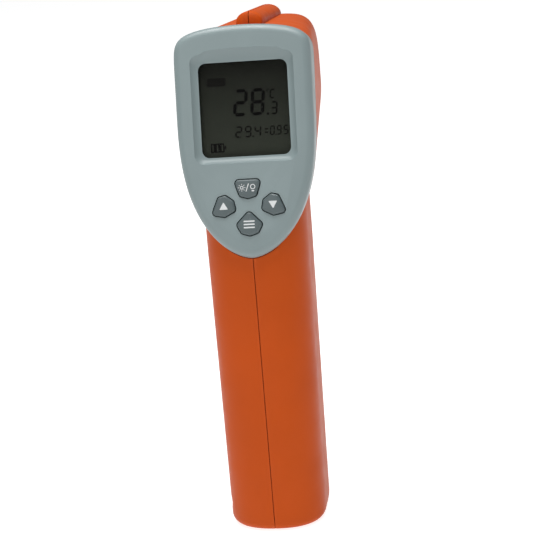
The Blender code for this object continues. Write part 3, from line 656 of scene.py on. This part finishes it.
def build_hood():
    rings = [hood_ring(shield(HEAD_POINTS, depth), lambda up, d=drop: d)
             for depth, drop in quarter(2.6, HOOD_ROUNDING, 10)]
    steps = 8
    for i in range(1, steps + 1):
        rings.append(hood_ring(shield(HEAD_POINTS), lambda up, s=i / steps: HOOD_ROUNDING + s * (
            hood_depth(up) - 0.45 - HOOD_ROUNDING)))
    rings.append(hood_ring(shield(HEAD_POINTS, 0.25), lambda up: hood_depth(up) - 0.12))
    hood = loft("rear_faceplate_fine", rings)
    hollow = loft("hood_hollow", [hood_ring(shield(96, 2), lambda up: 2.0),
                                  hood_ring(shield(96, 2), lambda up: 20)])
    count = 160
    window = aligned(rectangle(*WINDOW_SIZE, WINDOW_CORNER, 12), count)
    outer = aligned(recess_outline(), count)
    levels = [(0, 0.4), (0, 0.02)]
    shares = (0.02, 0.05, 0.1, 0.17, 0.25, 0.36, 0.5, 0.66, 0.83, 1.0)
    levels += [(s, -RECESS_DEPTH * (1 - (1 - s) ** 1.9)) for s in shares]
    levels += [(1, -5)]
    recess = []
    for share, level in levels:
        blended = [(a[0] + share * (b[0] - a[0]), a[1] + share * (b[1] - a[1]))
                   for a, b in zip(outer, window)]
        recess.append([FACE @ Vector((x, up, level)) for x, up in blended])
    cut(hood, hollow, loft("recess", recess))
    for name, ((x, up), outline) in key_outlines().items():
        cut(hood, prism("opening", inset(outline, -GAP), -6, 3, on_face(x, up)))
    settle(hood, "grey_abs", stands_for="rear_faceplate")


def build_keys():
    for name, ((x, up), outline) in key_outlines().items():
        levels = [(-0.7, -3.6), (-0.7, -2.7), (0, -2.7)]
        levels += [(depth, 0.78 - drop) for depth, drop in reversed(quarter(0.6, 0.6, 7))]
        rings = [[(a, b, level) for a, b in inset(outline, depth)] for depth, level in levels]
        rim = rings[-1]
        for share in (0.85, 0.65, 0.4, 0.15):
            rings.append([(a * share, b * share, 0.78 + 0.14 * (1 - share * share)) for a, b, level in rim])
        key = loft(f"{name}_fine", rings)
        key.data.transform(on_face(x, up))
        join(key, rod("stem", 1.7, -7.5, -3.2, on_face(x, up), 24))
        settle(key, "key_plastic", body=name.replace("button", "key"), stands_for=name, sharp=40)


def gathered(name, pieces):
    """Several flat marks as one piece."""
    bm = bmesh.new()
    for piece in pieces:
        bm.from_mesh(piece.data)
        bpy.data.objects.remove(piece)
    return new_object(name, bm)


def mark(outline, x, up, low, high):
    return prism("mark", outline, low, high, on_face(x, up))


def ring_mark(radius, width, x, up, low, high):
    profile = [(radius - width, low), (radius, low), (radius, high), (radius - width, high)]
    return turned("mark", profile, on_face(x, up), 32)


def bar_outline(ax, ay, bx, by, width):
    along = Vector((bx - ax, by - ay)).normalized() * width / 2
    side = Vector((-along.y, along.x))
    a, b = Vector((ax, ay)), Vector((bx, by))
    return [tuple(a - side), tuple(b - side), tuple(b + side), tuple(a + side)]


def build_icons():
    low, high = 0.6, 0.945
    centres = {name: place for name, (place, outline) in key_outlines().items()}
    x, up = centres["button_up"]
    triangle = rounded_polygon([(-1.35, -1.0), (1.35, -1.0), (0, 1.3)], 0.15, 3)
    up_mark = gathered("icon_up", [mark(triangle, x + 0.5, up - 0.1, low, high)])
    settle(up_mark, "diffuser", "key_up", look=ICON_WHITE)
    x, up = centres["button_down"]
    flipped = [(-a, -b) for a, b in triangle]
    down_mark = gathered("icon_down", [mark(flipped, x - 0.5, up - 0.1, low, high)])
    settle(down_mark, "diffuser", "key_down", look=ICON_WHITE)
    x, up = centres["button_mode"]
    lines = [mark(rectangle(3.4, 0.42, 0.15, 3), x, up - 0.2 + row, low, high) for row in (-0.95, 0, 0.95)]
    settle(gathered("icon_mode", lines), "diffuser", "key_mode", look=ICON_WHITE)
    x, up = centres["button_light"]
    sun = [ring_mark(0.55, 0.22, x - 1.7, up + 0.4, low, high)]
    for turn in range(8):
        angle = math.pi * turn / 4
        c, s = math.cos(angle), math.sin(angle)
        sun.append(mark(bar_outline(0.8 * c, 0.8 * s, 1.15 * c, 1.15 * s, 0.2), x - 1.7, up + 0.4, low, high))
    sun.append(mark(bar_outline(-0.45, -1.2, 0.45, 1.2, 0.26), x, up + 0.4, low, high))
    sun.append(ring_mark(0.8, 0.24, x + 1.7, up + 0.6, low, high))
    sun.append(mark(rectangle(0.8, 0.4, 0.1, 2), x + 1.7, up - 0.65, low, high))
    settle(gathered("icon_light", sun), "diffuser", "key_light", look=ICON_WHITE)


# The display

SEGMENTS = {"0": "abcdef", "2": "abged", "3": "abgcd", "4": "fgbc", "5": "afgcd", "8": "abcdefg",
            "9": "abcfgd", "C": "afed"}


def digit(shape, x, up, width, height, stroke, low, high):
    """A seven-segment figure with its middle at (x, up), leaning a little to the right."""
    half_w, half_h, nick = (width - stroke) / 2, (height - stroke) / 2, stroke * 0.12
    ends = {"a": (-half_w, half_h, half_w, half_h), "g": (-half_w, 0, half_w, 0),
            "d": (-half_w, -half_h, half_w, -half_h), "b": (half_w, 0, half_w, half_h),
            "c": (half_w, -half_h, half_w, 0), "f": (-half_w, 0, -half_w, half_h),
            "e": (-half_w, -half_h, -half_w, 0)}
    marks = []
    for name in SEGMENTS[shape]:
        ax, ay, bx, by = ends[name]
        a, b = Vector((ax, ay)), Vector((bx, by))
        along = (b - a).normalized()
        side = Vector((-along.y, along.x)) * stroke / 2
        a, b = a + along * nick, b - along * nick
        point = along * stroke / 2
        outline = [a, a + point - side, b - point - side, b, b - point + side, a + point + side]
        leaned = [(p.x + 0.09 * p.y, p.y) for p in outline]
        marks.append(mark(leaned, x, up, low, high))
    return marks


def build_segments():
    low, high = -3.59, -3.5
    marks = digit("2", -1.4, 2.0, 4.3, 8.2, 1.0, low, high) + digit("8", 3.9, 2.0, 4.3, 8.2, 1.0, low, high)
    marks += digit("3", 8.9, -0.1, 2.1, 4.0, 0.5, low, high)
    marks.append(mark(rectangle(0.7, 0.7, 0.1, 2), 6.9, -1.8, low, high))
    marks += digit("C", 8.6, 4.2, 1.7, 2.9, 0.42, low, high)
    marks.append(ring_mark(0.45, 0.2, 7.1, 5.4, low, high))
    settle(gathered("lcd_segments", marks), "lcd_glass", look=SEGMENT_BLACK)
    marks = []
    for place, shape in enumerate("29"):
        marks += digit(shape, -2.4 + 2.9 * place, -6.9, 2.1, 3.5, 0.48, low, high)
    marks.append(mark(rectangle(0.5, 0.5, 0.1, 2), 2.0, -8.4, low, high))
    marks += digit("4", 3.5, -6.9, 2.1, 3.5, 0.48, low, high)
    marks.append(mark(rectangle(1.1, 0.4, 0.1, 2), 6.2, -6.4, low, high))
    marks.append(mark(rectangle(1.1, 0.4, 0.1, 2), 6.2, -7.4, low, high))
    for place, shape in enumerate("095"):
        marks += digit(shape, 8.0 + 2.1 * place, -6.9, 1.5, 2.9, 0.38, low, high)
    marks.append(mark(rectangle(0.4, 0.4, 0.1, 2), 9.05, -8.2, low, high))
    marks.append(mark(rectangle(5.9, 2.5, 0.6, 3), -8.6, 8.6, low, high))
    for across_, width in ((-11.1, 0.4), (-7.3, 0.4), (-10.0, 1.0), (-8.5, 1.0)):
        marks.append(mark(rectangle(width, 2.3, 0.1, 2), across_, -11.4, low, high))
    for rise in (-1.2, 1.2):
        marks.append(mark(rectangle(4.2, 0.35, 0.1, 2), -9.2, -11.4 + rise, low, high))
    marks.append(mark(rectangle(0.5, 1.1, 0.1, 2), -6.8, -11.4, low, high))
    settle(gathered("lcd_small_figures", marks), "lcd_glass", look=SEGMENT_FAINT)


def build_display():
    panel = cap_prism("lcd_panel_fine", rectangle(31.0, 32.4, 0.6), -5.4, -3.6, 0.15, FACE)
    settle(panel, "lcd_glass", stands_for="lcd_panel")
    window = cap_prism("display_window_fine", rectangle(31.0, 32.4, 1.5), -3.3, -2.3, 0.12, FACE)
    settle(window, "window_acrylic", stands_for="display_window")
    build_segments()


# The nose

def build_nose():
    optic = nose_frame(NOSE_Z)
    upper, lower = nose_frame(NOSE_Z + LASER_OFFSET), nose_frame(NOSE_Z - LASER_OFFSET)
    rings = [head_section(NOSE_Y - back, WALL + GAP + depth) for back, depth in
             ((9.0, 0), (6, 0), (3, 0), (1.1, 0), (0.8, 0.08), (0.6, 0.35))]
    bezel = loft("nose_bezel_fine", rings)
    cut(bezel, rod("hole", BARREL_RADIUS + GAP, -12, 5, optic, 96),
        turned("cone", [(0, -3), (BARREL_RADIUS - 1, -3), (BARREL_RADIUS + 2, 1), (0, 1)], optic, 96))
    for where in (upper, lower):
        cut(bezel, rod("hole", LASER_RADIUS + GAP, -12, 5, where, 48))
        cut(bezel, turned("flare", [(0, -1.3), (LASER_RADIUS + 0.3, -1.3), (LASER_RADIUS + 1.0, -0.4),
                                    (LASER_RADIUS + 1.0, 1), (0, 1)], where, 48))
    settle(bezel, "black_abs", stands_for="nose_bezel")
    tube = [(7.9, -34), (9.0, -34)] + [(9.0, -34 + 30.4 * i / 24) for i in range(1, 25)]
    tube += [(8.9, -3.45), (8.75, -3.4), (7.9, -3.4)]
    settle(turned("sensor_tube_fine", tube, optic, 72), "black_abs", stands_for="sensor_tube")
    ring = [(6.6, -3.1), (9.0, -3.1), (9.0, -2.4), (8.9, -2.3), (7.0, -2.3), (6.6, -2.7)]
    settle(turned("lens_retainer_fine", ring, optic, 96), "aluminium", stands_for="lens_retainer")
    dome = [(6.6 * math.cos(t), -4.3 + 0.9 * math.sin(t)) for t in (math.pi / 2 * i / 14 for i in range(15))]
    lens = [(0, -6.4), (6.6, -5.4), (7.6, -5.4), (7.6, -4.3)] + dome[:-1] + [(0, -3.4)]
    settle(turned("sensor_lens_fine", lens, optic, 96), "infrared_lens", stands_for="sensor_lens")
    for name, where in (("upper", upper), ("lower", lower)):
        barrel = [(0, -15.5), (LASER_RADIUS, -15.5), (LASER_RADIUS, -1.6), (2.75, -1.25), (2.2, -1.0),
                  (1.6, -1.0), (1.5, -1.15), (1.5, -2.4), (0, -2.4)]
        module = turned(f"laser_module_{name}_fine", barrel, where, 48)
        settle(module, "brass", stands_for=f"laser_module_{name}")
        glass = [(0, -2.1), (1.2, -2.1), (1.2, -1.6), (0.9, -1.5), (0.5, -1.43), (0, -1.4)]
        lens = turned(f"laser_lens_{name}_fine", glass, where, 32)
        settle(lens, "laser_lens", stands_for=f"laser_lens_{name}")


# The trigger

def smooth_closed(points, per=6):
    """A smooth closed outline through the points."""
    count = len(points)
    made = []
    for i in range(count):
        a, b, c, d = (Vector(points[(i + k) % count]) for k in (-1, 0, 1, 2))
        for step in range(per):
            t = step / per
            made.append(tuple(0.5 * (2 * b + (c - a) * t + (2 * a - 5 * b + 4 * c - d) * t * t
                                     + (3 * b - a - 3 * c + d) * t ** 3)))
    return made


def build_trigger():
    side = [(21, 111), (18.6, 108), (18.4, 100), (18.0, 95), (18.6, 86), (23.6, 79.6), (26, 78.4),
            (30.6, 77.6), (32.0, 78.6), (31.2, 81.2), (29.2, 84), (28.2, 88), (28.4, 92.5), (29.6, 97),
            (29.8, 104), (27.6, 109.4), (24, 111.6)]
    outline = inset(smooth_closed(side), 0.12)
    half = TRIGGER_HALF_WIDTH
    rows = [(depth, half - drop) for depth, drop in quarter(1.1, 1.3, 7)]
    rings = [(depth, -x) for depth, x in rows] + [(0, 0)] + [(depth, x) for depth, x in reversed(rows)]
    trigger = loft("trigger_fine", [[(x, y, z) for y, z in inset(outline, depth)] for depth, x in rings])
    cut(trigger, rod("bore", TRIGGER_PIN_RADIUS + GAP, -20, 20, across(TRIGGER_PIVOT.y, TRIGGER_PIVOT.z)))
    settle(trigger, "black_abs", body="trigger", stands_for="trigger")


def trigger_pin_reach():
    """Half the pin's length, short enough to stay under the curved flank."""
    return boss_reach(TRIGGER_PIVOT.y, TRIGGER_PIVOT.z) - 3.0


def build_trigger_pin():
    reach = trigger_pin_reach()
    axis = across(TRIGGER_PIVOT.y, TRIGGER_PIVOT.z)
    pin = rod("trigger_pin_fine", TRIGGER_PIN_RADIUS, -reach, reach, axis, 48)
    settle(pin, "steel", stands_for="trigger_pin")


def build_spring():
    """The return spring: six turns of wire."""
    turns, around, sides, wire = 6, 28, 10, 0.3
    rings = []
    for step in range(turns * around + 1):
        angle = 2 * math.pi * step / around
        outward = Vector((math.cos(angle), math.sin(angle), 0))
        middle = 2.4 * outward + Vector((0, 0, 11.4 + 6.6 * step / (turns * around)))
        rings.append([middle + wire * (math.cos(t) * outward + math.sin(t) * Vector((0, 0, 1)))
                      for t in (2 * math.pi * k / sides for k in range(sides))])
    spring = loft("trigger_spring_fine", rings)
    spring.data.transform(Matrix.Translation((0, 0, 85)) @ Matrix.Rotation(-math.pi / 2, 4, "X"))
    settle(spring, "steel", stands_for="trigger_spring")
    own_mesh(spring)


# The battery door

def build_door():
    door = grip_solid("battery_door_fine", grip_outside(4, 112))
    hinge = across(DOOR_HINGE.y, DOOR_HINGE.z)
    cut(door, grip_solid("door_hollow", ((-2, WALL), (90, WALL), (117, WALL)), 96))
    change(door, "INTERSECT", prism("door_block", door_outline(0), -30, -7, UPRIGHT))
    cut(door, rod("foot", DOOR_SWEEP, -20, -6, hinge), rod("foot", DOOR_SWEEP, 6, 20, hinge))
    join(door, rod("knuckle", KNUCKLE_RADIUS, -KNUCKLE_HALF_WIDTH, KNUCKLE_HALF_WIDTH, hinge))
    cut(door, rod("bore", DOOR_PIN_RADIUS + GAP, -20, 20, hinge))
    settle(door, "orange_abs", body="door", stands_for="battery_door")


def build_screws():
    for place, (y, z) in enumerate(SCREW_PLACES, 1):
        head = -(boss_reach(y, z) - 4.6) - 0.3
        profile = [(0, 6.4), (0.5, 6.4), (SCREW_RADIUS, 5.2), (SCREW_RADIUS, head), (SCREW_HEAD_RADIUS, head),
                   (SCREW_HEAD_RADIUS, head - 1.0), (SCREW_HEAD_RADIUS - 0.25, head - 1.35),
                   (SCREW_HEAD_RADIUS - 0.6, head - 1.5), (0, head - 1.5)]
        screw = turned(f"housing_screw_{place}_fine", profile, across(y, z), 40)
        for turn in (0, math.pi / 2):
            where = across(y, z) @ Matrix.Rotation(turn, 4, "Z")
            cut(screw, box("slot", (-1.25, -0.2, head - 3), (1.25, 0.2, head - 0.7), where))
        settle(screw, "steel", stands_for=f"housing_screw_{place}")


# What the frame's own solids keep: only their finish changes

def dress_frame():
    slots = {part["node"]: part["material_slot"] for part in frame["record"]["subparts"]}
    for name, solid in frame["nodes"].items():
        solid.data.materials.clear()
        solid.data.materials.append(LOOKS[slots[name]])


# Stage and light

def build_stage():
    bm = bmesh.new()
    rows = []
    for i in range(25):
        depth = -3 + 6 * i / 24
        rows.append([bm.verts.new((-3 + 6 * k / 24, depth, -0.0002)) for k in range(25)])
    for low, high in zip(rows, rows[1:]):
        for k in range(24):
            bm.faces.new((low[k], low[k + 1], high[k + 1], high[k]))
    floor = new_object("floor", bm)
    look = finish("floor_paper", (0.5, 0.5, 0.5), 0.9, mottle=0.003, grain=300, relief=0.00002, specular=0.1)
    shader_of(look).inputs["Emission Color"].default_value = (1, 1, 1, 1)
    shader_of(look).inputs["Emission Strength"].default_value = 0.84
    floor.data.materials.append(look)


def area_light(name, place, aim, size, power, colour=(1, 1, 1)):
    data = bpy.data.lights.new(name, "AREA")
    data.shape = "RECTANGLE"
    data.size, data.size_y = size
    data.energy = power
    data.color = colour
    light = bpy.data.objects.new(name, data)
    bpy.context.scene.collection.objects.link(light)
    direction = Vector(aim) - Vector(place)
    light.rotation_euler = direction.to_track_quat("-Z", "Y").to_euler()
    light.location = place


def build_light():
    world = bpy.data.worlds.new("studio")
    world.use_nodes = True
    world.node_tree.nodes["Background"].inputs["Color"].default_value = (1, 1, 1, 1)
    world.node_tree.nodes["Background"].inputs["Strength"].default_value = 0.22
    bpy.context.scene.world = world
    bpy.context.scene.view_settings.view_transform = "Standard"
    area_light("overhead", (-0.05, -0.05, 0.95), (0, 0, 0.1), (0.8, 0.5), 11)
    area_light("front", (-0.35, -1.1, 0.55), (0, 0, 0.09), (0.8, 0.8), 2.5)


dress_frame()
build_shells()
build_hood()
build_keys()
build_icons()
build_display()
build_nose()
build_trigger()
build_trigger_pin()
build_spring()
build_door()
build_screws()
build_stage()
build_light()
